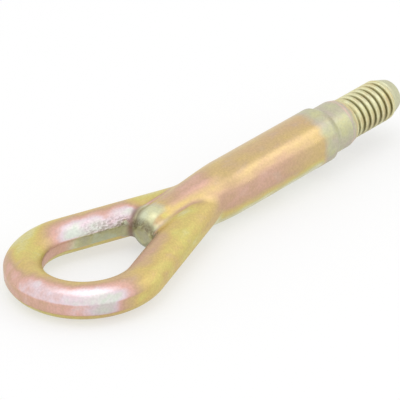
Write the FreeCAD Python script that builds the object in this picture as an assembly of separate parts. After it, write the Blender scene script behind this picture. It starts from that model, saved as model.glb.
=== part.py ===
import FreeCAD, Part
import math
import os

from FreeCAD import Vector

# A screw-in towing eye, drop forged in one piece from round steel bar. The eye is the bar bent to a
# teardrop: a circular front and two straight legs that run together into the neck. Between the legs
# the shank narrows and ends in a rounded nose. The flash is trimmed off and the hole punched, which
# leaves narrow upright bands at half height. The other end is turned: a bevelled shoulder, a plain
# collar, a second bevel and the screw, with a coarse right-hand thread and a tapered, rounded tip.
#
# Frame: the origin is on the screw axis where the shoulder's bevel meets the collar. The piece is
# built with the screw axis along X, the tip at +X and the eye flat in the XY plane. Then it is leaned
# back to lie on a table on its neck and the front of its eye. Z is up and lengths are millimetres.

# Shank and screw end: diameters, and lengths along the screw axis
SHANK_DIA = 21.2
COLLAR_DIA = 18.5
THREAD_DIA = 16.0
TIP_DIA = 11.2
SHOULDER_LENGTH = 2.6
COLLAR_LENGTH = 7.7
BEVEL_LENGTH = 4.5
THREAD_LENGTH = 19.0
TIP_LENGTH = 6.9
TIP_EDGE_RADIUS = 1.4

# Thread: one groove with a flat root, which starts on the bevel, deepens over part of a turn and runs
# out on the tapered tip
THREAD_PITCH = 3.0
THREAD_DEPTH = 1.15
GROOVE_WIDTH = 1.8
GROOVE_ROOT_WIDTH = 0.5
GROOVE_START = 10.7
GROOVE_TURNS = 8.25
GROOVE_RUN_IN = 0.75

# Eye: centreline of the bent bar, and the bar's own width and height
EYE_CENTRE = 122.2
EYE_BEND_RADIUS = 22.5
LEG_ANGLE_DEG = 20.4
LEG_END_HALF_GAP = 2.0
BAR_WIDTH = 14.9
BAR_HEIGHT = 12.6

# Neck: the shank narrows from here to a rounded nose between the legs, easing in and out of its
# slope over this share of its length. The creases beside it are rounded tightly at the nose and widely
# where the legs run out into the shank.
NECK_START = 52.0
NECK_EASE = 0.2
NOSE_END = 96.0
NOSE_RADIUS = 8.0
CREASE_RADIUS = 3.5
CREASE_END_RADIUS = 12.0

# Trimming: depth of the upright bands, the bend at which the outer ones run out at the shank, and the
# shank end of the punched hole
TRIM_DEPTH = 0.55
TRIM_RUN_OUT_RADIUS = 30.0
HOLE_END = 95.3
HOLE_CORNER_RADIUS = 3.5

# Cutting blocks: a size larger than the whole piece, and the distance they keep from what they spare
BLOCK = 200.0
CLEAR = 0.3

# Thread cutter: its height, which is more than the groove's depth, the lengths that a turn of it is
# made in, and the steps from point to point along each of them
CUTTER_HEIGHT = 1.8
LENGTHS_PER_TURN = 4
STEPS_PER_LENGTH = 4

# A point this near a surface lies on it
TOUCHING = 1e-3

# Points along the neck at which its level is compared with the eye's when it is laid down
NECK_POINTS = 200

SHANK_RADIUS = SHANK_DIA / 2
LEG_ANGLE = math.radians(LEG_ANGLE_DEG)
ORIGIN = Vector(0, 0, 0)
X_AXIS = Vector(1, 0, 0)
Y_AXIS = Vector(0, 1, 0)
Z_AXIS = Vector(0, 0, 1)


def other_side(point):
    """The same point mirrored across the screw axis."""
    return Vector(point.x, -point.y, point.z)


def polyline(points):
    """Straight edges from point to point."""
    return [Part.makeLine(first, second) for first, second in zip(points, points[1:])]


def rounded_corner(before, corner, after, radius):
    """Arc that rounds a corner between two straight lines."""
    back = (before - corner).normalize()
    ahead = (after - corner).normalize()
    half_angle = back.getAngle(ahead) / 2
    inward = (back + ahead).normalize()
    middle = corner + inward * (radius / math.sin(half_angle) - radius)
    tangent = radius / math.tan(half_angle)
    return Part.Arc(corner + back * tangent, middle, corner + ahead * tangent)


def bend_points(offset):
    """Front and end of the eye's bend, on a line at this distance outside the centreline."""
    radius = EYE_BEND_RADIUS + offset
    front = Vector(-EYE_CENTRE - radius, 0, 0)
    end_x = -EYE_CENTRE + radius * math.sin(LEG_ANGLE)
    end_y = radius * math.cos(LEG_ANGLE)
    return front, Vector(end_x, end_y, 0)


def leg_point_at_y(bend_end, y):
    """Point where the leg that starts at bend_end comes down to y."""
    run = (bend_end.y - y) / math.tan(LEG_ANGLE)
    return Vector(bend_end.x + run, y, 0)


def leg_point_at_x(bend_end, x):
    """Point where the leg that starts at bend_end reaches x."""
    fall = (x - bend_end.x) * math.tan(LEG_ANGLE)
    return Vector(x, bend_end.y - fall, 0)


def eye_bar():
    """The bent bar: a section of two equal arcs, as two die halves leave it, swept round the eye."""
    front, bend_end = bend_points(0)
    leg_end = leg_point_at_y(bend_end, LEG_END_HALF_GAP)
    path = Part.Wire([
        Part.makeLine(other_side(leg_end), other_side(bend_end)),
        Part.Arc(other_side(bend_end), front, bend_end).toShape(),
        Part.makeLine(bend_end, leg_end),
    ])
    start = other_side(leg_end)
    half_width = Vector(math.sin(LEG_ANGLE), -math.cos(LEG_ANGLE), 0) * (BAR_WIDTH / 2)
    half_height = Z_AXIS * (BAR_HEIGHT / 2)
    section = Part.Wire([
        Part.Arc(start - half_width, start + half_height, start + half_width).toShape(),
        Part.Arc(start + half_width, start - half_height, start - half_width).toShape(),
    ])
    return path.makePipeShell([section], True, False, 2)


def neck_curve():
    """Side of the neck, from the top of the nose to the full shank."""
    nose_top = Vector(-NOSE_END + NOSE_RADIUS, NOSE_RADIUS, 0)
    neck_end = Vector(-NECK_START, SHANK_RADIUS, 0)
    ease = X_AXIS * ((neck_end.x - nose_top.x) * NECK_EASE)
    curve = Part.BezierCurve()
    curve.setPoles([nose_top, nose_top + ease, neck_end - ease, neck_end])
    return curve


def round_bar():
    """Nose, neck, shank and screw end, turned about the screw axis from one profile."""
    neck = neck_curve()
    nose_tip = Vector(-NOSE_END, 0, 0)
    on_nose = NOSE_RADIUS * math.sqrt(0.5)
    nose_middle = Vector(neck.StartPoint.x - on_nose, on_nose, 0)
    nose = Part.Arc(nose_tip, nose_middle, neck.StartPoint)

    bevel_end = Vector(COLLAR_LENGTH + BEVEL_LENGTH, THREAD_DIA / 2, 0)
    thread_end = bevel_end + X_AXIS * THREAD_LENGTH
    tip_corner = Vector(thread_end.x + TIP_LENGTH, TIP_DIA / 2, 0)
    tip_centre = Vector(tip_corner.x, 0, 0)
    tip_edge = rounded_corner(thread_end, tip_corner, tip_centre, TIP_EDGE_RADIUS)
    side = polyline([
        neck.EndPoint,
        Vector(-SHOULDER_LENGTH, SHANK_RADIUS, 0),
        Vector(0, COLLAR_DIA / 2, 0),
        Vector(COLLAR_LENGTH, COLLAR_DIA / 2, 0),
        bevel_end,
        thread_end,
        tip_edge.StartPoint,
    ])
    end_and_axis = polyline([tip_edge.EndPoint, tip_centre, nose_tip])
    profile = [nose.toShape(), neck.toShape()] + side + [tip_edge.toShape()] + end_and_axis
    return Part.Face(Part.Wire(profile)).revolve(ORIGIN, X_AXIS, 360)


def neck_creases(body, first, second):
    """Edges of a body beside its neck that lie on the skins of both solids it was made from."""
    first_skin = Part.Compound(first.Faces)
    second_skin = Part.Compound(second.Faces)
    found = []
    for edge in body.Edges:
        middle = edge.valueAt((edge.FirstParameter + edge.LastParameter) / 2)
        vertex = Part.Vertex(middle)
        gap = max(vertex.distToShape(first_skin)[0], vertex.distToShape(second_skin)[0])
        beside_neck = middle.z > TOUCHING and middle.x > NOSE_RADIUS - NOSE_END
        if gap < TOUCHING and beside_neck:
            found.append(edge)
    return found


def forging():
    """Eye and bar in one, in two like halves, with the creases between them rounded right to the nose."""
    eye = eye_bar()
    bar = round_bar()
    upper_block = Part.makeBox(2 * BLOCK, 2 * BLOCK, BLOCK, Vector(-BLOCK, -BLOCK, 0))
    upper = bar.fuse(eye).common(upper_block).Solids[0]
    creases = neck_creases(upper, bar, eye)
    upper = upper.makeFillet(CREASE_RADIUS, CREASE_END_RADIUS, creases)
    lower = upper.mirror(ORIGIN, Z_AXIS)
    return upper.fuse(lower).removeSplitter()


def upright_block(edges):
    """A block with upright walls over a closed outline in the XY plane."""
    face = Part.Face(Part.Wire(edges))
    face.translate(Z_AXIS * -BLOCK)
    return face.extrude(Z_AXIS * 2 * BLOCK)


def trimming_block():
    """What the trimming die leaves: inside its outline along the eye, and all of the shank."""
    front, bend_end = bend_points(BAR_WIDTH / 2 - TRIM_DEPTH)
    corner = leg_point_at_y(bend_end, SHANK_RADIUS + CLEAR)
    beyond_tip = Vector(BLOCK, corner.y, 0)
    near = rounded_corner(bend_end, corner, beyond_tip, TRIM_RUN_OUT_RADIUS)
    far = rounded_corner(
        other_side(beyond_tip), other_side(corner), other_side(bend_end), TRIM_RUN_OUT_RADIUS)
    return upright_block([
        Part.Arc(other_side(bend_end), front, bend_end).toShape(),
        Part.makeLine(bend_end, near.StartPoint),
        near.toShape(),
        Part.makeLine(near.EndPoint, beyond_tip),
        Part.makeLine(beyond_tip, other_side(beyond_tip)),
        Part.makeLine(other_side(beyond_tip), far.StartPoint),
        far.toShape(),
        Part.makeLine(far.EndPoint, other_side(bend_end)),
    ])


def hole_punch():
    """The punched hole: round at the front, straight along the legs, flat at the shank end."""
    front, bend_end = bend_points(TRIM_DEPTH - BAR_WIDTH / 2)
    corner = leg_point_at_x(bend_end, -HOLE_END)
    end_middle = Vector(-HOLE_END, 0, 0)
    near = rounded_corner(bend_end, corner, end_middle, HOLE_CORNER_RADIUS)
    far = rounded_corner(end_middle, other_side(corner), other_side(bend_end), HOLE_CORNER_RADIUS)
    return upright_block([
        Part.Arc(other_side(bend_end), front, bend_end).toShape(),
        Part.makeLine(bend_end, near.StartPoint),
        near.toShape(),
        Part.makeLine(near.EndPoint, far.StartPoint),
        far.toShape(),
        Part.makeLine(far.EndPoint, other_side(bend_end)),
    ])


def groove_section(turn):
    """Corners of the thread cutter after so many turns, lifted clear of the metal at its start."""
    lift = CUTTER_HEIGHT * max(1 - turn / GROOVE_RUN_IN, 0)
    root_radius = THREAD_DIA / 2 - THREAD_DEPTH + lift
    root_half = GROOVE_ROOT_WIDTH / 2
    rim_half = root_half + (GROOVE_WIDTH / 2 - root_half) * CUTTER_HEIGHT / THREAD_DEPTH
    x = GROOVE_START + THREAD_PITCH * turn
    outward = Vector(0, math.cos(2 * math.pi * turn), math.sin(2 * math.pi * turn))
    root = outward * root_radius
    rim = outward * (root_radius + CUTTER_HEIGHT)
    return [
        root + X_AXIS * (x - root_half),
        root + X_AXIS * (x + root_half),
        rim + X_AXIS * (x + rim_half),
        rim + X_AXIS * (x - rim_half),
    ]


def smooth_edge(points):
    """An edge that passes through the points."""
    curve = Part.BSplineCurve()
    curve.interpolate(points)
    return curve.toShape()


def flat_face(points):
    """A flat face with these corners."""
    return Part.Face(Part.makePolygon(points + points[:1]))


def thread_cutter():
    """The thread's groove as a solid: its section wound round the screw, in lengths sewn end to end."""
    lengths = round(GROOVE_TURNS * LENGTHS_PER_TURN)
    step = 1 / (LENGTHS_PER_TURN * STEPS_PER_LENGTH)
    faces = [flat_face(groove_section(0)), flat_face(groove_section(GROOVE_TURNS))]
    for length in range(lengths):
        first = length * STEPS_PER_LENGTH
        sections = [groove_section((first + i) * step) for i in range(STEPS_PER_LENGTH + 1)]
        edges = [smooth_edge(list(corner)) for corner in zip(*sections)]
        for edge, following in zip(edges, edges[1:] + edges[:1]):
            faces.append(Part.makeRuledSurface(edge, following))
    shell = Part.Shell(faces)
    shell.sewShape()
    return Part.Solid(shell)


def lean_angle():
    """Angle, in degrees, of the line under the eye's front that just touches the neck."""
    front_x = -EYE_CENTRE - EYE_BEND_RADIUS
    angles = []
    for point in neck_curve().discretize(NECK_POINTS):
        angles.append(math.atan2(point.y - BAR_HEIGHT / 2, point.x - front_x))
    return math.degrees(max(angles))


def tow_hook():
    """The whole piece: forged, trimmed, punched, threaded and laid down."""
    hook = forging().common(trimming_block()).cut(hole_punch())
    hook = hook.cut(thread_cutter()).Solids[0]
    hook.rotate(ORIGIN, Y_AXIS, -lean_angle())
    return hook


os.makedirs("parts", exist_ok=True)
hook = tow_hook()
hook.exportStep("parts/tow_hook.step")
print("volume mm3", round(hook.Volume), "valid", hook.isValid(), "faces", len(hook.Faces))
print("centre of mass", hook.CenterOfMass, "lean", round(lean_angle(), 3))
print("box", hook.BoundBox)
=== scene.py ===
import math

import bpy
import numpy as np
from mathutils import Matrix, Vector


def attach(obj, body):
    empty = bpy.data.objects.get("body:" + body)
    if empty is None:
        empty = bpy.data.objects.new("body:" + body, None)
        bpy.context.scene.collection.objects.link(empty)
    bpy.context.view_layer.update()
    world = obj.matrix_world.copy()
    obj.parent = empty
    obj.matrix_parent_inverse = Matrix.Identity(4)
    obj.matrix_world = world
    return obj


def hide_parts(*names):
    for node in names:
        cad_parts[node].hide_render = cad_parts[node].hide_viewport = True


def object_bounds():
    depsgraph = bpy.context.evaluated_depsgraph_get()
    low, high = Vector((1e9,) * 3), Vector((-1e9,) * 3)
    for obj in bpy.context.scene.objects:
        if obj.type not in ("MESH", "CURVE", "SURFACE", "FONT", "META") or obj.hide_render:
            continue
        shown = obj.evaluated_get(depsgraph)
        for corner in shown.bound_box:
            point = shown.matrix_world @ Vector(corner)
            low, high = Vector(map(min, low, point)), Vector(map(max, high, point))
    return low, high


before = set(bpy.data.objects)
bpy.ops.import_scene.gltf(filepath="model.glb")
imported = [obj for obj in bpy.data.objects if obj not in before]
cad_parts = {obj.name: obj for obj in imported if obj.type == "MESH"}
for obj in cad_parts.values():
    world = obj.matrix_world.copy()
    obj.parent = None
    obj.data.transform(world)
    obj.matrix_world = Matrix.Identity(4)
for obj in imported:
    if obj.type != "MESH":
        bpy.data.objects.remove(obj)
cad_low, cad_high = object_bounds()


# Tow hook: one steel bar, drop forged between two die halves. The bar is bent round to a teardrop eye, and
# its legs run into the shank on both sides of a rounded nose. The flash is trimmed off and the hole punched,
# the screw end is turned and threaded, and all of it is zinc plated and yellow passivated.

# Main sizes in millimetres, with the screw axis along X and the eye lying flat
SHANK_RADIUS = 10.59
EYE_CENTRE = np.array([-122.2, 0.0])
EYE_BEND_RADIUS = 22.5
LEG_ANGLE = math.radians(20.4)
BAR_HALF_WIDTH = 7.45
BAR_HALF_HEIGHT = 6.295
TRIMMED_HALF_WIDTH = 6.88
NECK_START = -52.0
NECK_EASE = 0.2
NOSE_END = -96.0
NOSE_RADIUS = 8.0
NOSE_CENTRE = NOSE_END + NOSE_RADIUS
CREASE_RADIUS = 3.0
CREASE_END_RADIUS = 12.0
CREASE_WIDENS_FROM = -80.0
CREASE_END = -60.0
HOLE_END = -95.3
HOLE_CORNER_RADIUS = 3.5
RUN_OUT_RADIUS = 30.0
RUN_OUT_GAP = 0.3

# As it lies on the floor, the thicker shank leans the screw axis up by this much
LEAN = math.radians(2.685)

# The bar's section is two equal arcs: their radius, and how far below half height the upper centre is
SECTION_RADIUS = (BAR_HALF_WIDTH**2 + BAR_HALF_HEIGHT**2) / (2 * BAR_HALF_HEIGHT)
SECTION_DROP = SECTION_RADIUS - BAR_HALF_HEIGHT

# Directions of the leg on the +Y side: along it towards the shank, and out of the eye
LEG_ALONG = np.array([math.cos(LEG_ANGLE), -math.sin(LEG_ANGLE)])
LEG_OUT = np.array([math.sin(LEG_ANGLE), math.cos(LEG_ANGLE)])
BEND_END = EYE_CENTRE + EYE_BEND_RADIUS * LEG_OUT

# The trimming tool leaves edges that are eased over this width, down by this much
EDGE_EASE = 0.6
EDGE_DROP = 0.16

# Grid counts: across a leg, along the hole's end, up a trimmed band, and round the eye
ACROSS_LEG = 36
ALONG_HOLE_END = 24
UP_BAND = 4
ROUND_EYE = 200

# The forging's surface is searched for up to these places, which lie outside it, by so many halvings
SEARCH_HEIGHT = 12.0
SEARCH_WIDTH = 45.0
HALVINGS = 42


def smooth(value, start, end):
    """Rises from 0 at start to 1 at end with level ends: 3 t squared minus 2 t cubed."""
    t = np.clip((value - start) / (end - start), 0.0, 1.0)
    return t * t * (3 - 2 * t)


def towards(value, target, share):
    """A value moved towards a target by a share of the way."""
    return value + (target - value) * share


def bar_radius(x):
    """Radius of the round bar: full up to the neck, then a cubic curve that eases down to the nose."""
    t = np.linspace(0.0, 1.0, 400)
    ease = NECK_EASE * (NECK_START - NOSE_CENTRE)
    curve_x = (NOSE_CENTRE * (1 - t) ** 3 + 3 * (NOSE_CENTRE + ease) * t * (1 - t) ** 2
               + 3 * (NECK_START - ease) * t**2 * (1 - t) + NECK_START * t**3)
    curve_r = towards(NOSE_RADIUS, SHANK_RADIUS, 3 * t**2 - 2 * t**3)
    return np.interp(x, curve_x, curve_r)


def outside_forging(x, y, z):
    """Distance of points of the upper half outside the forging, less than zero inside.

    The bar's distance is measured from its axis, and from the nose's centre beyond the neck. The leg's
    is measured from its section's arc. A ball that rolls in the crease joins the two: with both
    distances taken from the ball's radius, the surface is where the ball's centre is one radius away.
    The ball is small at the nose and grows to where the legs run out into the shank.
    """
    beyond_neck = np.minimum(x - NOSE_CENTRE, 0.0)
    from_axis = np.sqrt(beyond_neck**2 + y**2 + z**2) + 1e-9
    to_bar = from_axis - bar_radius(x)
    across = (x - BEND_END[0]) * LEG_OUT[0] + (y - BEND_END[1]) * LEG_OUT[1]
    from_centre = np.sqrt(across**2 + (z + SECTION_DROP) ** 2) + 1e-9
    to_leg = from_centre - SECTION_RADIUS
    between = (beyond_neck * LEG_OUT[0] + y * LEG_OUT[1]) * across + z * (z + SECTION_DROP)
    between = np.clip(between / (from_axis * from_centre), -0.999, 0.999)
    ball = towards(CREASE_RADIUS, CREASE_END_RADIUS, smooth(x, CREASE_WIDENS_FROM, CREASE_END))
    p = ball - to_bar
    q = ball - to_leg
    in_crease = (p > between * q) & (q > between * p)
    to_ball = np.sqrt(np.maximum(p**2 + q**2 - 2 * between * p * q, 0.0) / (1 - between**2))
    return np.where(in_crease, ball - to_ball, np.minimum(to_bar, to_leg))


def where_it_leaves(outside, low, high):
    """Halves the stretch from low to high until it closes on where outside turns positive."""
    for _ in range(HALVINGS):
        middle = (low + high) / 2
        out = outside(middle) > 0
        high = np.where(out, middle, high)
        low = np.where(out, low, middle)
    return (low + high) / 2


def top_height(x, y):
    """Height of the forging over plan points: how far up its surface is met."""
    limit = np.full_like(x, SEARCH_HEIGHT)
    return where_it_leaves(lambda z: outside_forging(x, y, z), np.zeros_like(x), limit)


def side_reach(x, z):
    """Distance from the screw axis at which the forging's side stands, at given heights."""
    limit = np.full_like(x, SEARCH_WIDTH)
    return where_it_leaves(lambda y: outside_forging(x, y, z), np.zeros_like(x), limit)


def trim_line(x):
    """Half width left by trimming: a line along the leg, an arc, then a line just clear of the shank."""
    start = EYE_CENTRE + (EYE_BEND_RADIUS + TRIMMED_HALF_WIDTH) * LEG_OUT
    clear = SHANK_RADIUS + RUN_OUT_GAP
    corner_x = start[0] + (start[1] - clear) / math.tan(LEG_ANGLE)
    tangent = RUN_OUT_RADIUS * math.tan(LEG_ANGLE / 2)
    arc_end = corner_x + tangent
    arc = clear + RUN_OUT_RADIUS - np.sqrt(np.maximum(RUN_OUT_RADIUS**2 - (x - arc_end) ** 2, 0.0))
    line = start[1] - (x - start[0]) * math.tan(LEG_ANGLE)
    bent = np.where(x < corner_x - tangent * math.cos(LEG_ANGLE), line, arc)
    return np.where(x > arc_end, clear, bent)


def eased_edge(distance):
    """Drop of the surface at this distance from a trimmed edge: a square curve that ends level."""
    return EDGE_DROP * np.maximum(1 - distance / EDGE_EASE, 0.0) ** 2


def hole_end_line(count):
    """Points along the hole's shank end, from -Y to +Y, and the X part of the direction into the metal.

    The line is an arc, a straight stretch and an arc, walked by its length.
    """
    turn = math.pi / 2 - LEG_ANGLE
    arc = HOLE_CORNER_RADIUS * turn
    inner_start = EYE_CENTRE + (EYE_BEND_RADIUS - TRIMMED_HALF_WIDTH) * LEG_OUT
    corner_y = inner_start[1] - (HOLE_END - inner_start[0]) * math.tan(LEG_ANGLE)
    flat = corner_y - HOLE_CORNER_RADIUS * math.tan(turn / 2)
    walked = np.linspace(-flat - arc, flat + arc, count + 1)
    angle = np.maximum(np.abs(walked) - flat, 0.0) / HOLE_CORNER_RADIUS
    x = HOLE_END - HOLE_CORNER_RADIUS * (1 - np.cos(angle))
    y = np.minimum(np.abs(walked), flat) + HOLE_CORNER_RADIUS * np.sin(angle)
    return x, np.sign(walked) * y, np.cos(angle)


# Eye: the trimmed section carried along the centreline, down one leg, round the bend and up the other
end_x, end_y, end_into = hole_end_line(ALONG_HOLE_END)
leg_across = TRIMMED_HALF_WIDTH * np.sin(np.linspace(-math.pi / 2, math.pi / 2, ACROSS_LEG + 1))
leg_start = np.array([end_x[-1], end_y[-1]]) + TRIMMED_HALF_WIDTH * LEG_OUT
leg_length = float((leg_start - BEND_END) @ LEG_ALONG)
bend_angle = math.pi + 2 * LEG_ANGLE
walked = np.linspace(0.0, 2 * leg_length + EYE_BEND_RADIUS * bend_angle, ROUND_EYE + 1)
bent = np.clip((walked - leg_length) / EYE_BEND_RADIUS, 0.0, bend_angle)
before_bend = np.maximum(leg_length - walked, 0.0)
after_bend = np.maximum(walked - leg_length - EYE_BEND_RADIUS * bend_angle, 0.0)
out_angle = LEG_ANGLE - math.pi / 2 - bent
eye_out = np.stack([np.cos(out_angle), np.sin(out_angle)], axis=1)
eye_forward = np.stack([np.sin(out_angle), -np.cos(out_angle)], axis=1)
eye_line = EYE_CENTRE + EYE_BEND_RADIUS * eye_out + eye_forward * (after_bend - before_bend)[:, None]

# The section runs across its top, down the outer band, back across its bottom and up the inner band
section_top = np.sqrt(SECTION_RADIUS**2 - leg_across**2) - SECTION_DROP
section_top = section_top - eased_edge(TRIMMED_HALF_WIDTH - np.abs(leg_across))
band_share = 1 - 2 * np.arange(1, UP_BAND) / UP_BAND
band_across = np.full(UP_BAND - 1, TRIMMED_HALF_WIDTH)
section_across = np.concatenate([leg_across, band_across, leg_across[::-1], -band_across])
section_z = np.concatenate([
    section_top, section_top[-1] * band_share, -section_top[::-1], -section_top[0] * band_share])
eye_grid = np.empty((ROUND_EYE + 1, len(section_across), 3))
eye_grid[..., :2] = eye_line[:, None, :] + eye_out[:, None, :] * section_across[None, :, None]
eye_grid[..., 2] = section_z

# Neck and shank: lines that start on the hole's end and across both legs and run to the shoulder
SHOULDER_START = -2.6
LEGS_MERGED = -56.0
BAND_FADES = (-76.0, -60.0)
BAND_EDGE_FADES = (-74.0, -66.0)
leg_xy = leg_start + leg_across[:, None] * LEG_OUT
start_x = np.concatenate([leg_xy[::-1, 0], end_x[1:-1], leg_xy[:, 0]])
start_y = np.concatenate([-leg_xy[::-1, 1], end_y[1:-1], leg_xy[:, 1]])
from_hole = leg_across + TRIMMED_HALF_WIDTH
start_from_hole = np.concatenate([from_hole[::-1], np.zeros(ALONG_HOLE_END - 1), from_hole])
leg_into = np.full(ACROSS_LEG + 1, LEG_OUT[0])
start_into = np.concatenate([leg_into, end_into[1:-1], leg_into])
top_count = 2 * ACROSS_LEG + ALONG_HOLE_END
round_count = 2 * (top_count + UP_BAND)
band_angle = math.pi * UP_BAND / round_count
shank_angle = np.linspace(-1, 1, top_count + 1) * (math.pi / 2 - band_angle)
shank_share = np.sin(shank_angle) / math.cos(band_angle)

# The rows stand closest at the eased edge of the hole and widest on the plain shank
hole_steps = [0.0, 0.12, 0.13, 0.15, 0.2]
steps = np.concatenate([hole_steps, np.full(44, 0.42), np.full(40, 0.6), np.full(50, 0.97)])
run = np.cumsum(steps) / np.sum(steps)
neck_x = towards(start_x, SHOULDER_START, run[:, None])


def band_edge(x):
    """Half width at the top of the band: the trim line, or the side of the neck where that is nearer.

    The side is taken at the band's height on the legs, which goes over to a low height on the shank.
    """
    leg_height = math.sqrt(SECTION_RADIUS**2 - TRIMMED_HALF_WIDTH**2) - SECTION_DROP
    height = towards(leg_height, SHANK_RADIUS * math.sin(band_angle), smooth(x, *BAND_FADES))
    return np.minimum(trim_line(x), side_reach(x, height))


# Each line starts at its own share of the half width, and settles to even spacing round the shank
start_share = start_y / band_edge(start_x)
settled = smooth(neck_x, start_x, LEGS_MERGED)
neck_y = band_edge(neck_x) * towards(start_share, shank_share, settled)
neck_top = top_height(neck_x, np.abs(neck_y))

# The top is eased down at the hole's edge and at the trimmed edge, as far as that goes along the neck
from_hole_edge = start_from_hole + (neck_x - start_x) * start_into
from_trim = (trim_line(neck_x) - np.abs(neck_y)) * LEG_OUT[1]
from_trim = from_trim + 3 * EDGE_EASE * smooth(neck_x, *BAND_EDGE_FADES)
neck_top = neck_top - eased_edge(from_hole_edge) - eased_edge(from_trim)

# The sides stand between the upper and lower edges, on the trim line or on the neck's own side
side_x = np.repeat(neck_x[:, -1:], UP_BAND - 1, axis=1)
side_z = neck_top[:, -1:] * band_share
side_y = np.minimum(trim_line(side_x), side_reach(side_x, np.abs(side_z)))
neck_grid = np.stack([
    np.concatenate([neck_x, side_x, neck_x[:, ::-1], side_x], axis=1),
    np.concatenate([neck_y, side_y, neck_y[:, ::-1], -side_y], axis=1),
    np.concatenate([neck_top, side_z, -neck_top[:, ::-1], -side_z], axis=1)], axis=2)

# End of the hole: an upright wall between the upper and lower rims
wall_columns = slice(ACROSS_LEG, ACROSS_LEG + ALONG_HOLE_END + 1)
wall_share = 2 * np.arange(UP_BAND + 1) / UP_BAND - 1
wall_grid = np.empty((UP_BAND + 1, ALONG_HOLE_END + 1, 3))
wall_grid[..., 0] = neck_x[0, wall_columns]
wall_grid[..., 1] = neck_y[0, wall_columns]
wall_grid[..., 2] = neck_top[0, wall_columns] * wall_share[:, None]

# Screw end: bevelled shoulder, plain collar, bevel, thread, taper and rounded tip
COLLAR_RADIUS = 9.25
COLLAR_END = 7.7
THREAD_RADIUS = 8.0
THREAD_START = 12.2
THREAD_END = 31.2
THREAD_PITCH = 3.0
THREAD_DEPTH = 1.15
TIP_RADIUS = 5.6
TIP_END = 38.1
TIP_ROUNDING = 1.4
CORNER_BREAK = 0.3

# The groove's half width in pitches, at its floor and at the crests, and where it comes to full depth
GROOVE_HALF_WIDTH = (0.05, 0.30)
GROOVE_RUN_IN = (THREAD_START - 1.9, THREAD_START + 1.2)

# The rows stand this close along the thread, up to where its last groove has run out
THREAD_STEP = 0.16
LAST_GROOVE = 34.6


def turned_radius(x):
    """Outline of the turned end before threading, with its corners broken by averaging nearby points."""
    corner_x = [SHOULDER_START, 0.0, COLLAR_END, THREAD_START, THREAD_END, TIP_END]
    corner_r = [SHANK_RADIUS, COLLAR_RADIUS, COLLAR_RADIUS, THREAD_RADIUS, THREAD_RADIUS, TIP_RADIUS]
    nearby = np.linspace(-CORNER_BREAK, CORNER_BREAK, 7)[:, None]
    broken = np.interp(x + nearby, corner_x, corner_r).mean(axis=0)
    into_tip = np.clip((x - TIP_END + TIP_ROUNDING) / TIP_ROUNDING, 0.0, 1.0)
    return broken - TIP_ROUNDING * (1 - np.sqrt(1 - into_tip**2))


def thread_turns(x, angle):
    """Turns of a right-hand thread from its start: the way along by the pitch, less the angle by a turn."""
    return (x - THREAD_START) / THREAD_PITCH - angle / (2 * math.pi)


def thread_groove(x, angle):
    """Share of the groove's depth: a rounded V over the middle of each turn, between flat crests.

    It is full near the middle and falls smoothly to the crests. It comes in over about one pitch.
    """
    from_middle = np.abs((thread_turns(x, angle) % 1.0) - 0.5)
    groove = 1 - smooth(from_middle, *GROOVE_HALF_WIDTH)
    return groove * smooth(x, *GROOVE_RUN_IN)


tip_turn = np.linspace(0.15, math.pi / 2, 9)
screw_x = np.concatenate([
    np.linspace(SHOULDER_START, 0.4, 16),
    np.linspace(0.8, THREAD_START - 1.4, 24),
    np.arange(THREAD_START - 1.2, LAST_GROOVE, THREAD_STEP),
    np.linspace(LAST_GROOVE + 0.2, TIP_END - TIP_ROUNDING, 8),
    TIP_END - TIP_ROUNDING * (1 - np.sin(tip_turn))])
shank_ring = neck_grid[-1]
ring_angle = np.arctan2(shank_ring[:, 2], shank_ring[:, 1])
groove = thread_groove(screw_x[:, None], ring_angle)
plain = turned_radius(screw_x)[:, None]
screw_radius = plain - groove * np.maximum(plain - THREAD_RADIUS + THREAD_DEPTH, 0.0)
screw_radius[0] = SHANK_RADIUS
screw_grid = np.stack([
    np.repeat(screw_x[:, None], round_count, axis=1),
    screw_radius * np.cos(ring_angle),
    screw_radius * np.sin(ring_angle)], axis=2)


def grid_quads(grid, first, closed):
    """Corner numbers of a grid's quads, numbered from first.

    A closed grid joins its last column to its first.
    """
    rows, columns = grid.shape[:2]
    number = first + np.arange(rows * columns).reshape(rows, columns)
    if closed:
        number = np.concatenate([number, number[:, :1]], axis=1)
    corners = [number[:-1, :-1], number[1:, :-1], number[1:, 1:], number[:-1, 1:]]
    return np.stack(corners, axis=2).reshape(-1, 4)


grids = [(eye_grid, True), (neck_grid, True), (wall_grid, False), (screw_grid, True)]
points = np.concatenate([grid.reshape(-1, 3) for grid, closed in grids])
firsts = np.cumsum([0] + [grid.shape[0] * grid.shape[1] for grid, closed in grids])
quads = np.concatenate([grid_quads(grid, first, closed) for (grid, closed), first in zip(grids, firsts)])
tip_ring = np.arange(firsts[-1] - round_count, firsts[-1])[::-1]

# Points that two grids share are welded: rounded to a thousandth of a millimetre, equal ones become one
_, kept, welded = np.unique(np.round(points, 3), axis=0, return_index=True, return_inverse=True)
welded = welded.reshape(-1)
shape = points[kept]
leaned = np.stack([
    shape[:, 0] * math.cos(LEAN) - shape[:, 2] * math.sin(LEAN),
    shape[:, 1],
    shape[:, 0] * math.sin(LEAN) + shape[:, 2] * math.cos(LEAN)], axis=1)
hook_mesh = bpy.data.meshes.new("towing_eye")
hook_mesh.from_pydata(leaned / 1000, [], welded[quads].tolist() + [welded[tip_ring].tolist()])
hook_mesh.polygons.foreach_set("use_smooth", np.ones(len(hook_mesh.polygons), dtype=bool))
hook_mesh.update()
hook = bpy.data.objects.new("towing_eye", hook_mesh)
bpy.context.scene.collection.objects.link(hook)
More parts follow.
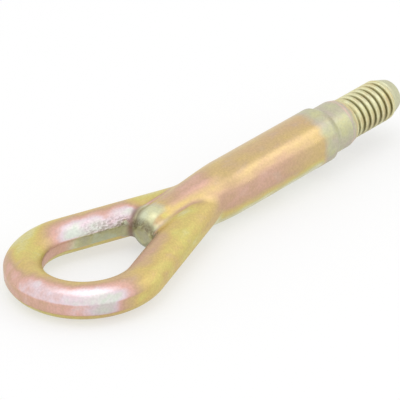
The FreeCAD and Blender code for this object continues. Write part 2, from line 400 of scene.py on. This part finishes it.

# Yellow passivation: a thin film that ran off the forging unevenly, and whose colour goes with its
# thickness. Cut and punched places are greyer, and forging scale left pits along the hole. Painted shade
# darkens the thread's grooves, the hollows by the nose and hole and the punched wall, and painted
# highlights lighten the thread's front flanks, the nose's crown and the neck's near flank. The mesh holds
# how much of each there is at every point.

# Where each point lies and faces: the front is the eye's end at -X, the near side is -Y, the far side +Y
flat_normals = np.empty(3 * len(shape), dtype=np.float32)
hook_mesh.vertex_normals.foreach_get("vector", flat_normals)
normal = flat_normals.reshape(-1, 3)
faces_front = -normal[:, 0]
faces_near = -normal[:, 1]
faces_up = normal[:, 2]
tilt = np.degrees(np.arccos(np.clip(faces_up, -1.0, 1.0)))
along, side, level = shape.T
off_middle = np.abs(side)

# Distance from the bar's centreline, more than zero outside it and less than zero towards the hole
leg_run = (along - BEND_END[0]) * LEG_ALONG[0] + (off_middle - BEND_END[1]) * LEG_ALONG[1]
leg_side = (along - BEND_END[0]) * LEG_OUT[0] + (off_middle - BEND_END[1]) * LEG_OUT[1]
bend_side = np.hypot(along - EYE_CENTRE[0], side) - EYE_BEND_RADIUS
from_line = np.where(leg_run > 0, leg_side, bend_side)


def fading(value, start, end):
    """Falls from 1 at start to 0 at end: what smooth leaves over."""
    return 1 - smooth(value, start, end)


def within(value, start, full, last, end):
    """Rises from 0 at start to 1 at full, stays there to last, and falls back to 0 at end."""
    return smooth(value, start, full) * fading(value, last, end)


# Thickness of the film: pale green at 0, straw at 0.2, tan at 0.4, salmon at 0.7, lavender at 0.85 and mint
# at 1. On the shank it goes by the tilt from the sky, but is thicker on the ridge of the neck and thinner
# on the low side near the shoulder. Its pale green on the shank's underside is a painted reflection of the
# white floor. Stretches along the screw axis are named by what happens over them.
STRAW = 0.2
TAN = 0.36
SALMON = 0.74
RIDGE_ENDS = (-66.0, -58.0)
LOW_SIDE_THINS = (-38.0, -16.0)
shank_film = np.interp(
    tilt, [0, 28, 50, 66, 95, 106, 122, 180], [0.42, 0.36, 0.42, 0.54, 0.50, 0.24, 0.0, 0.0])
ridge = fading(along, *RIDGE_ENDS) * fading(tilt, 15.0, 40.0)
shank_film = towards(shank_film, SALMON, 0.75 * ridge)
low_side = smooth(along, *LOW_SIDE_THINS) * within(tilt, 50.0, 70.0, 98.0, 106.0)
shank_film = towards(shank_film, TAN, 0.6 * low_side)

# On the eye it goes by how far the surface faces the front and near side: the film's own colours, made
# whiter where it faces them most, which is partly a painted highlight
FRONT_TO_LEGS = (-136.0, -118.0)
BEND_TO_LEGS = (-122.0, -112.0)
DEEP_TAN = 0.5
front_and_near_facing = 0.8 * faces_front + 0.4 * faces_near
front_film = np.interp(
    front_and_near_facing, [-0.5, -0.2, 0.0, 0.15, 0.3, 0.45], [0.22, 0.32, 0.47, 0.65, 0.8, 0.87])
leg_film = np.interp(faces_front, [-0.1, 0.05, 0.2, 0.35], [0.26, 0.28, 0.4, 0.5])
eye_film = towards(front_film, leg_film, smooth(along, *FRONT_TO_LEGS))
far_front = smooth(side, 0.0, 14.0) * fading(along, *BEND_TO_LEGS)
eye_film = towards(eye_film, STRAW + 0.4 * smooth(faces_front, 0.2, 0.6), far_front)
near_top = smooth(-side, 8.0, 14.0) * smooth(along, *BEND_TO_LEGS) * fading(from_line, -1.0, 3.0)
eye_film = towards(eye_film, DEEP_TAN, 0.9 * near_top)

# On the far leg it thickens from the outside to the hole, with a pinker stretch near the nose
FAR_LEG_BEGINS = (-132.0, -114.0)
PINKER_STRETCH = (-104.0, -100.0, -96.0, -92.0)
far_leg = smooth(side, 3.0, 7.0) * smooth(along, *FAR_LEG_BEGINS)
far_film = np.interp(from_line, [-5.0, -3.0, -1.0, 1.0, 3.0, 5.0], [0.92, 0.85, 0.65, 0.45, 0.31, 0.26])
pinker = within(along, *PINKER_STRETCH) * fading(from_line, -4.0, -1.0)
eye_film = towards(eye_film, far_film - 0.14 * pinker, far_leg)
eye_film = towards(eye_film, STRAW, smooth(tilt, 92.0, 108.0))

# Trimmed bands: the one round the outside, with a lavender patch on its front, and the wall of the hole
GREY_GREEN = 0.6
BAND_PATCH = (-145.0, -140.0, -136.0, -131.0)
WALL_ENDS = (-96.0, -94.0)
BAND_BEGINS = (6.55, 6.85)
ON_WALL = (-6.85, -6.6)
on_band = smooth(from_line, *BAND_BEGINS)
patch = within(along, *BAND_PATCH) * smooth(-side, 8.0, 12.0)
band_film = np.interp(faces_front, [0.1, 0.3, 0.5, 1.0], [0.26, 0.5, 0.65, 0.67]) + 0.18 * patch
eye_film = towards(eye_film, band_film, on_band)
wall = fading(from_line, *ON_WALL) * fading(along, *WALL_ENDS)
eye_film = towards(eye_film, GREY_GREEN, wall)

# Beside the neck the legs are straw up to the crease, and their colour spreads where the crease runs out
LEGS_TURN_STRAW = (-98.0, -92.0)
FAR_NOSE_ENDS = (-92.0, -86.0)
NECK_BEGINS = (-88.0, -80.0)
LEG_COLOUR_ENDS = (-80.0, -58.0)
crease_place = np.interp(along, [-76.0, -70.0, -64.0], [6.4, 7.9, 9.3])
beyond_crease = off_middle - crease_place
spread = 3.0 * smooth(along, *BAND_FADES)
on_leg = smooth(along, *LEGS_TURN_STRAW) * smooth(beyond_crease, -0.2 - spread, 0.8 + spread)
on_leg = on_leg * (1 - smooth(side, 0.0, 4.0) * fading(along, *FAR_NOSE_ENDS))
eye_film = towards(eye_film, STRAW, 0.9 * on_leg)
leg_share = towards(1.0, on_leg * fading(along, *LEG_COLOUR_ENDS), smooth(along, *NECK_BEGINS))
film = towards(shank_film, eye_film, leg_share)

# The nose, but for its near flank, and the end of the hole below it
NOSE_STRETCH = (-98.0, -96.4, -91.0, -81.0)
NEAR_FLANK_BEGINS = (-94.0, -90.5)
HOLE_END_STRETCH = (-98.0, -97.0, -95.2, -94.9)
from_nose = np.sqrt((along - NOSE_CENTRE) ** 2 + side**2 + level**2) - NOSE_RADIUS
nose = within(along, *NOSE_STRETCH) * fading(from_nose, 0.3, 1.6)
near_flank = smooth(-side, 3.0, 5.0) * smooth(along, *NEAR_FLANK_BEGINS)
bare_nose = nose * fading(faces_near, 0.35, 0.6) * (1 - near_flank)
hole_end = within(along, *HOLE_END_STRETCH) * fading(off_middle, 7.0, 8.5)
film = towards(film, GREY_GREEN, bare_nose)
film = towards(film, GREY_GREEN, hole_end)

# The turned end: the film on it, then on its shoulder's bevel, its collar's rim, its thread and its tip
TURNED_BEGINS = (-12.0, -6.0)
SHOULDER_BEVEL = (-2.8, -2.2, -0.6, 0.2)
COLLAR_RIM = (7.0, 7.5, 8.0, 8.6)
THREAD_BEGINS = (8.6, 10.6)
TIP_BEGINS = (31.0, 33.0)
turned_end = smooth(along, *TURNED_BEGINS)
thread_end = smooth(along, *THREAD_BEGINS)
film = towards(film, 0.5, turned_end)
film = towards(film, 0.56, within(along, *SHOULDER_BEVEL))
film = towards(film, 0.26, within(along, *COLLAR_RIM))
film = towards(film, 0.11, thread_end)
film = towards(film, -0.05, smooth(along, *TIP_BEGINS))

# Cut and punched places, where the film looks greyer: little of the thread, and not the front of the hole
PUNCHED_BEGINS = (-120.0, -111.0)
punched = wall * smooth(along, *PUNCHED_BEGINS)
greyer = turned_end * (1 - 0.8 * thread_end)
for cut in (bare_nose, hole_end, punched):
    greyer = np.maximum(greyer, 1.2 * cut)

# The film varies more over the eye than over the shank
EYE_TO_SHANK = (-90.0, -66.0)
uneven = towards(1.1, 0.8, smooth(along, *EYE_TO_SHANK))

# Rougher where the cutting tool ran, and over the neck and eye where the film is thin
ROUGHEST_ENDS = (-90.0, -70.0)
ROUGH_ENDS = (-62.0, -54.0)
forged_rough = towards(0.07, 0.14, fading(along, *ROUGHEST_ENDS)) * fading(along, *ROUGH_ENDS)
rough = 0.13 * turned_end + forged_rough * fading(film, 0.5, 0.75)

# Painted shade in dark olive: in the groove of the thread, on its far crests and its underside, on the
# nose's front and far side, the end of the hole and the punched wall; and the tip is made darker
RESIDUE_BEGINS = (THREAD_START - 2.0, THREAD_START)
CRESTS_END = (30.4, 31.4)
TIP_DARKENS = (31.4, 33.4)
plain_radius = np.interp(along, screw_x, turned_radius(screw_x))
groove_share = (plain_radius - np.hypot(side, level)) / THREAD_DEPTH
olive_painted_shade = groove_share * smooth(along, *RESIDUE_BEGINS)
on_thread = within(along, *RESIDUE_BEGINS, *CRESTS_END)
past_flank = (thread_turns(along, np.arctan2(level, side)) - 0.8) % 1.0
far_crest = within(past_flank, 0.05, 0.42, 0.5, 0.65)
olive_painted_shade = np.maximum(olive_painted_shade, 0.5 * far_crest * on_thread)
olive_painted_shade = olive_painted_shade + 0.33 * smooth(tilt, 75.0, 105.0) * on_thread
tip = smooth(along, *TIP_DARKENS)
nose_front = np.maximum(smooth(faces_front, 0.56, 0.76), 0.85 * fading(faces_near, -0.35, -0.08))
nose_front = nose * nose_front * fading(faces_front, 0.9, 0.98)
for darkness, darkened in ((0.44, tip), (0.6, nose_front), (0.4, hole_end), (0.42, punched)):
    olive_painted_shade = np.maximum(olive_painted_shade, darkness * darkened)

# Painted highlight, pale: the flanks of the thread that face the front, and the crown of the nose
pale_painted_highlight = smooth(faces_front, 0.12, 0.4) * fading(olive_painted_shade, 0.25, 0.6)
pale_painted_highlight = pale_painted_highlight * smooth(along, THREAD_START, THREAD_START + 1.0)
crown = nose * smooth(faces_up, 0.5, 0.75) * fading(np.abs(faces_near), 0.3, 0.5)
pale_painted_highlight = np.maximum(pale_painted_highlight, 0.4 * crown)

# Painted highlight in its own colour: the near flank of the neck above the crease is made brighter
FLANK_STRETCH = (-90.0, -84.0, -64.0, -56.0)
neck_flank = smooth(faces_near, 0.15, 0.4) * smooth(faces_up, 0.4, 0.6) * fading(beyond_crease, -1.2, 0.2)
flank_painted_highlight = 0.22 * neck_flank * within(along, *FLANK_STRETCH)

# Pitted by forging scale: the tops of the legs towards the hole
PITTED_STRETCH = (-117.0, -104.0, -95.0, -92.0)
pits = within(along, *PITTED_STRETCH) * fading(from_line, -6.4, -1.5) * smooth(level, 1.2, 2.0)

# Painted shade in brown: round the foot of the nose on its far side, and faintly in the creases and on the
# band's patch
FOOT_STRETCH = (-98.5, -95.5, -92.0, -85.0)
CREASE_STRETCH = (-94.0, -88.0, -76.0, -66.0)
nose_foot = within(along, *FOOT_STRETCH) * within(from_nose, -0.3, 0.8, 1.0, 3.5) * smooth(side, 1.0, 4.0)
crease = within(along, *CREASE_STRETCH) * fading(np.abs(beyond_crease - 0.4), 0.2, 1.8)
crease = crease * smooth(level, 0.0, 2.0)
brown_painted_shade = np.maximum(0.85 * nose_foot, 0.14 * crease)
brown_painted_shade = np.maximum(brown_painted_shade, 0.26 * patch * on_band)

held_shares = {"film": film, "uneven": uneven, "greyer": greyer, "rough": rough,
               "olive_painted_shade": olive_painted_shade, "pale_painted_highlight": pale_painted_highlight, "flank_painted_highlight": flank_painted_highlight, "brown_painted_shade": brown_painted_shade, "pits": pits}
for name, shares in held_shares.items():
    held = hook_mesh.attributes.new(name, "FLOAT", "POINT")
    held.data.foreach_set("value", shares.astype(np.float32))

# The coating: a metal whose colour and gloss follow what the mesh holds, broken up by noise. One pattern of
# places is drawn out along the bar, and shifted to where its noise suits the piece.
finish = bpy.data.materials.new("yellow_zinc")
finish.use_nodes = True
nodes = finish.node_tree.nodes
links = finish.node_tree.links
shader = nodes["Principled BSDF"]
shader.inputs["Metallic"].default_value = 1.0
coordinates = nodes.new("ShaderNodeTexCoord")
on_piece = coordinates.outputs["Object"]
stretch = nodes.new("ShaderNodeMapping")
stretch.inputs["Scale"].default_value = (0.5, 1.0, 1.0)
stretch.inputs["Location"].default_value = (1.55, 0.8, 0.4)
links.new(on_piece, stretch.inputs["Vector"])
drawn_out = stretch.outputs["Vector"]


def shade(red, green, blue):
    """A colour named in the usual 0 to 255 steps, as the linear values that the shader takes."""
    shares = np.array([red, green, blue]) / 255
    linear = np.where(shares <= 0.04045, shares / 12.92, ((shares + 0.055) / 1.055) ** 2.4)
    return (*linear.tolist(), 1.0)


def held_share(name):
    """The share that the mesh holds under a name."""
    reader = nodes.new("ShaderNodeAttribute")
    reader.attribute_name = name
    return reader.outputs["Fac"]


def noise(per_metre, detail, places):
    """Noise with so many features to the metre, fixed to the piece, over its plain or drawn out places."""
    texture = nodes.new("ShaderNodeTexNoise")
    texture.inputs["Scale"].default_value = per_metre
    texture.inputs["Detail"].default_value = detail
    links.new(places, texture.inputs["Vector"])
    return texture.outputs["Fac"]


def carried(value, low, high, to_low, to_high):
    """A value carried from one range to another and held at its ends."""
    mapped = nodes.new("ShaderNodeMapRange")
    mapped.inputs["From Min"].default_value = low
    mapped.inputs["From Max"].default_value = high
    mapped.inputs["To Min"].default_value = to_low
    mapped.inputs["To Max"].default_value = to_high
    links.new(value, mapped.inputs["Value"])
    return mapped.outputs["Result"]


def worked(operation, first, second):
    """Sum, product or other result of two values."""
    step = nodes.new("ShaderNodeMath")
    step.operation = operation
    links.new(first, step.inputs[0])
    links.new(second, step.inputs[1])
    return step.outputs[0]


def blended(share, first, second):
    """A colour that goes from the first to the second as the share goes from 0 to 1.

    Each is a plain colour or another node's. The node keeps its colours at inputs 6 and 7 and output 2.
    """
    mix = nodes.new("ShaderNodeMix")
    mix.data_type = "RGBA"
    links.new(share, mix.inputs["Factor"])
    for colour, socket in ((first, mix.inputs[6]), (second, mix.inputs[7])):
        if isinstance(colour, tuple):
            socket.default_value = colour
        else:
            links.new(colour, socket)
    return mix.outputs[2]


def colour_ramp(value, colours):
    """A colour looked up by a value, from places along the way and the colour at each.

    A new ramp has two stops, which take the first two places.
    """
    ramp = nodes.new("ShaderNodeValToRGB")
    stops = ramp.color_ramp.elements
    for number, (position, colour) in enumerate(colours):
        stop = stops[number] if number < 2 else stops.new(position)
        stop.position = position
        stop.color = colour
    links.new(value, ramp.inputs["Fac"])
    return ramp.outputs["Color"]


drift = noise(50.0, 2.0, drawn_out)
mottle = noise(260.0, 3.0, drawn_out)
grain = noise(1300.0, 2.0, on_piece)
wrinkle = noise(1500.0, 4.0, drawn_out)
patches = noise(150.0, 2.0, on_piece)

# Colours of the film by its thickness, and of the greyer film on cut and punched places
swing = worked("ADD", carried(drift, 0.25, 0.75, -0.14, 0.14), carried(mottle, 0.25, 0.75, -0.09, 0.09))
thickness = worked("ADD", held_share("film"), worked("MULTIPLY", swing, held_share("uneven")))
film_colour = colour_ramp(thickness, [
    (0.0, shade(224, 224, 190)), (0.1, shade(216, 208, 152)), (0.18, shade(215, 202, 125)),
    (0.3, shade(214, 189, 126)), (0.42, shade(208, 181, 135)), (0.56, shade(206, 171, 144)),
    (0.7, shade(223, 180, 168)), (0.85, shade(232, 214, 220)), (1.0, shade(224, 230, 219))])
grey_thickness = worked("ADD", held_share("film"), carried(patches, 0.3, 0.7, -0.12, 0.12))
grey_colour = colour_ramp(grey_thickness, [
    (0.2, shade(218, 194, 178)), (0.38, shade(197, 188, 171)), (0.5, shade(199, 197, 167)),
    (0.58, shade(205, 203, 160)), (0.66, shade(205, 210, 182))])
grey_share = worked("ADD", held_share("greyer"), carried(mottle, 0.3, 0.7, -0.25, 0.25))
colour = blended(carried(grey_share, 0.1, 0.9, 0.0, 1.0), film_colour, grey_colour)

# Over it lie the painted olive shade, the pale painted highlight, the painted brown shade and the dark of
# the pits, and a fine speckle
colour = blended(carried(held_share("olive_painted_shade"), 0.25, 0.85, 0.0, 0.8), colour, shade(106, 101, 66))
colour = blended(carried(held_share("pale_painted_highlight"), 0.0, 1.0, 0.0, 0.7), colour, shade(240, 238, 200))
colour = blended(held_share("brown_painted_shade"), colour, shade(138, 108, 100))
pitted = carried(held_share("pits"), 0.3, 1.0, 0.0, 1.0)
dark_wrinkle = worked("MULTIPLY", pitted, carried(wrinkle, 0.58, 0.42, 0.0, 0.5))
colour = blended(dark_wrinkle, colour, shade(124, 104, 88))
speckle_and_highlight = nodes.new("ShaderNodeHueSaturation")
links.new(colour, speckle_and_highlight.inputs["Color"])
# The speckle's brightness also carries the painted highlight on the neck's near flank
brightness = worked("ADD", carried(grain, 0.3, 0.7, 0.93, 1.07), held_share("flank_painted_highlight"))
links.new(brightness, speckle_and_highlight.inputs["Value"])
links.new(speckle_and_highlight.outputs["Color"], shader.inputs["Base Color"])

forged_gloss = carried(mottle, 0.3, 0.7, 0.27, 0.34)
links.new(worked("ADD", forged_gloss, held_share("rough")), shader.inputs["Roughness"])

# Relief in metres: a fine grain all over, and wrinkles up to six times as high where the scale was
wrinkle_height = worked("MULTIPLY", held_share("pits"), carried(wrinkle, 0.3, 0.6, 0.0, 6.0))
relief = nodes.new("ShaderNodeBump")
relief.inputs["Strength"].default_value = 0.5
relief.inputs["Distance"].default_value = 0.00006
links.new(worked("ADD", grain, wrinkle_height), relief.inputs["Height"])
links.new(relief.outputs["Normal"], shader.inputs["Normal"])
hook_mesh.materials.append(finish)

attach(hook, "root")
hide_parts("tow_hook")


# Studio: a white paper floor that fades into a white surround, because what is seen of it is partly plain
# white. A soft box hangs overhead, a long one with a brighter core stands to the right of the camera, and
# the camera stands as for the photograph.

# Half the floor's width in metres, as all of the studio is, and the paper's own colour
FLOOR_HALF = 4
PAPER_WHITE = (0.96, 0.96, 0.96, 1)


def by_sight(tree, unseen, seen):
    """One value for light that falls on things, and another for what is seen, mirrored or through glass."""
    path = tree.nodes.new("ShaderNodeLightPath")
    sight = path.outputs["Is Camera Ray"]
    for way in ("Is Glossy Ray", "Is Transmission Ray"):
        either = tree.nodes.new("ShaderNodeMath")
        either.operation = "MAXIMUM"
        tree.links.new(sight, either.inputs[0])
        tree.links.new(path.outputs[way], either.inputs[1])
        sight = either.outputs[0]
    choice = tree.nodes.new("ShaderNodeMapRange")
    choice.inputs["To Min"].default_value = unseen
    choice.inputs["To Max"].default_value = seen
    tree.links.new(sight, choice.inputs["Value"])
    return choice.outputs["Result"]


floor_mesh = bpy.data.meshes.new("floor")
floor_corners = [(x * FLOOR_HALF, y * FLOOR_HALF, 0) for x, y in ((-1, -1), (1, -1), (1, 1), (-1, 1))]
floor_mesh.from_pydata(floor_corners, [], [(0, 1, 2, 3)])
floor = bpy.data.objects.new("floor", floor_mesh)
floor.location.z = cad_low.z
bpy.context.scene.collection.objects.link(floor)
paper = bpy.data.materials.new("white_paper")
paper.use_nodes = True
paper_nodes = paper.node_tree.nodes
paper_links = paper.node_tree.links
matt = paper_nodes["Principled BSDF"]
matt.inputs["Base Color"].default_value = PAPER_WHITE
matt.inputs["Roughness"].default_value = 0.9
matt.inputs["Specular IOR Level"].default_value = 0.0
white = paper_nodes.new("ShaderNodeEmission")
white.inputs["Strength"].default_value = 1.0
paper_mix = paper_nodes.new("ShaderNodeMixShader")
paper_links.new(by_sight(paper.node_tree, 0.0, 0.55), paper_mix.inputs["Fac"])
paper_links.new(matt.outputs["BSDF"], paper_mix.inputs[1])
paper_links.new(white.outputs["Emission"], paper_mix.inputs[2])
paper_links.new(paper_mix.outputs["Shader"], paper_nodes["Material Output"].inputs["Surface"])
floor_mesh.materials.append(paper)

world = bpy.data.worlds.new("white_surround")
world.use_nodes = True
bpy.context.scene.world = world
surround = world.node_tree.nodes["Background"]
surround.inputs["Color"].default_value = (1, 1, 1, 1)
world.node_tree.links.new(by_sight(world.node_tree, 0.95, 1.0), surround.inputs["Strength"])


def soft_box(name, place, aim, length_way, width, length, watts):
    """A soft light at a place that faces a point, with its length turned towards a direction."""
    lamp = bpy.data.lights.new(name, "AREA")
    lamp.shape = "RECTANGLE"
    lamp.size = width
    lamp.size_y = length
    lamp.energy = watts
    facing = (Vector(place) - Vector(aim)).normalized()
    across = Vector(length_way).cross(facing).normalized()
    upward = facing.cross(across)
    box = bpy.data.objects.new(name, lamp)
    box.matrix_world = Matrix.Translation(place) @ Matrix((across, upward, facing)).transposed().to_4x4()
    bpy.context.scene.collection.objects.link(box)


soft_box("box_overhead", (-0.185, 0.01, 0.9), (-0.08, 0, 0), (0, 1, 0), 0.56, 0.56, 0.68)
soft_box("box_right", (0.60, -0.55, 0.545), (-0.03, 0, 0), (0, -0.7, -0.7), 0.3, 0.76, 0.42)
soft_box("box_right_core", (0.60, -0.37, 0.68), (-0.03, 0, 0), (0, -0.7, -0.7), 0.3, 0.32, 0.15)

CAMERA_TURN = math.radians(-46.209)
CAMERA_RISE = math.radians(28.994)
CAMERA_ROLL = math.radians(-0.167)
CAMERA_DISTANCE = 1.41203
CAMERA_LENS = 355.17
LOOKED_AT = Vector((-0.06581, -0.00074, -0.00171))
back = Vector((
    math.sin(CAMERA_TURN) * math.cos(CAMERA_RISE),
    -math.cos(CAMERA_TURN) * math.cos(CAMERA_RISE),
    math.sin(CAMERA_RISE)))
camera_data = bpy.data.cameras.new("camera")
camera_data.lens = CAMERA_LENS
camera_data.sensor_width = 36.0
camera_data.clip_start = 0.1
camera_data.clip_end = 50.0
camera = bpy.data.objects.new("camera", camera_data)
camera.location = LOOKED_AT + back * CAMERA_DISTANCE
camera.rotation_mode = "QUATERNION"
camera.rotation_quaternion = (
    (-back).to_track_quat("-Z", "Y") @ Matrix.Rotation(CAMERA_ROLL, 3, "Z").to_quaternion())
bpy.context.scene.collection.objects.link(camera)
bpy.context.scene.camera = camera

bpy.context.scene.view_settings.view_transform = "Standard"
